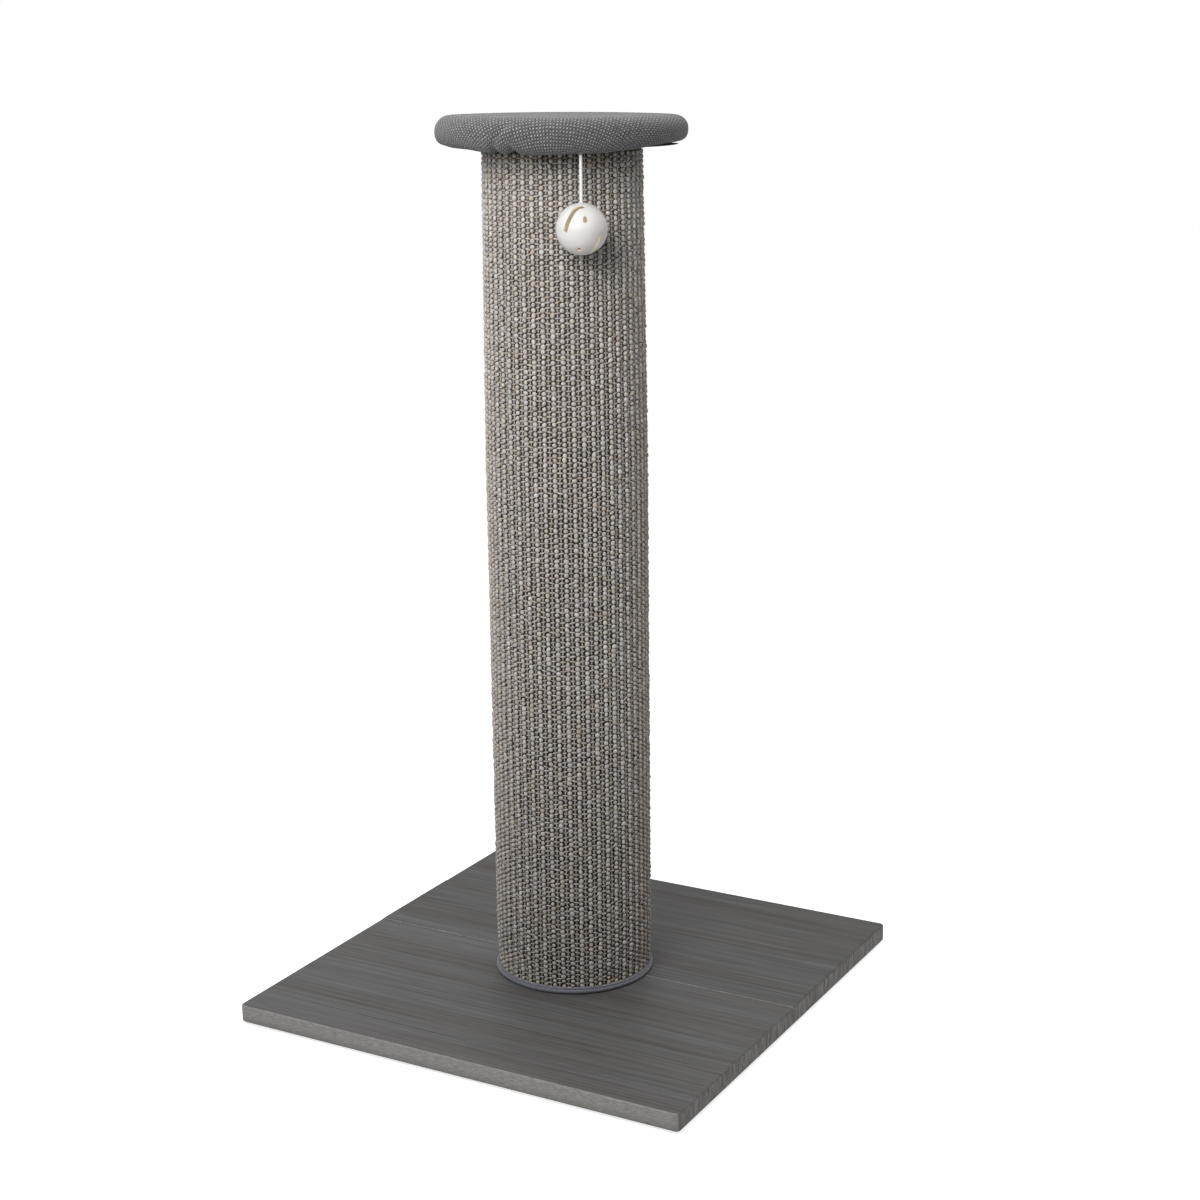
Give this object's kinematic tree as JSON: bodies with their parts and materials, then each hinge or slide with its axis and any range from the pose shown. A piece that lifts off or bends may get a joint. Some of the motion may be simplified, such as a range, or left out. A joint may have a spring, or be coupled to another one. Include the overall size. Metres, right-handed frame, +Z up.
{
  "type": "cat scratching post",
  "caption": "Free-standing cat scratching post: square wooden base, tall post in a woven sisal sleeve, padded round lid, and a slotted toy ball hanging on a cord.",
  "frame": {"origin": "on the floor under the middle of the square base", "axes": "+Z up along the post, +X along the base boards' grain, -Y out of the base's front edge"},
  "size_m": [0.5, 0.5, 0.8991],
  "materials": {
    "stained_wood": "grey stain, satin",
    "felt": "felt",
    "zinc_steel": "zinc plated",
    "plywood": "raw",
    "cardboard": "wound board",
    "sisal": "coarse weave",
    "piping": "matte",
    "foam": "open cell",
    "lid_fabric": "plain weave",
    "lining": "non-woven",
    "cord": "braided",
    "ball_plastic": "satin",
    "brass": "plated"
  },
  "bodies": {
    "post": {"base_strip_board": "stained_wood", "base_front_board": "stained_wood", "base_middle_board": "stained_wood", "base_back_board": "stained_wood", "floor_pad_front_left": "felt", "floor_pad_front_right": "felt", "floor_pad_back_left": "felt", "floor_pad_back_right": "felt", "base_bolt": "zinc_steel", "base_washer": "zinc_steel", "bottom_plug": "plywood", "bottom_tee_nut": "zinc_steel", "core_tube": "cardboard", "sisal_sleeve": "sisal", "foot_piping": "piping", "top_plug": "plywood", "top_tee_nut": "zinc_steel", "lid_stud": "zinc_steel", "lid_tee_nut": "zinc_steel", "lid_lining": "lining", "lid_board": "plywood", "lid_foam": "foam", "lid_cover": "lid_fabric", "toy_cord_anchor": "cord"},
    "cord_top": {"toy_cord_top": "cord"},
    "cord": {"toy_cord": "cord"},
    "ball": {"ball_upper_shell": "ball_plastic", "ball_lower_shell": "ball_plastic", "ball_bell": "brass"}
  },
  "joints": [
    {"name": "toy_swing_out", "type": "hinge", "parent": "post", "child": "cord_top", "pos_m": [0.0665, -0.08125, 0.8624], "axis": [-0.7738, -0.6334, 0], "range_deg": [0, 80]},
    {"name": "toy_sway", "type": "hinge", "parent": "cord_top", "child": "cord", "pos_m": [0.0665, -0.08125, 0.8564], "axis": [0.6334, -0.7738, 0], "range_deg": [-55, 55]},
    {"name": "ball_spin", "type": "hinge", "parent": "cord", "child": "ball", "pos_m": [0.0665, -0.08125, 0.7965], "axis": [0, 0, 1], "continuous": true}
  ]
}
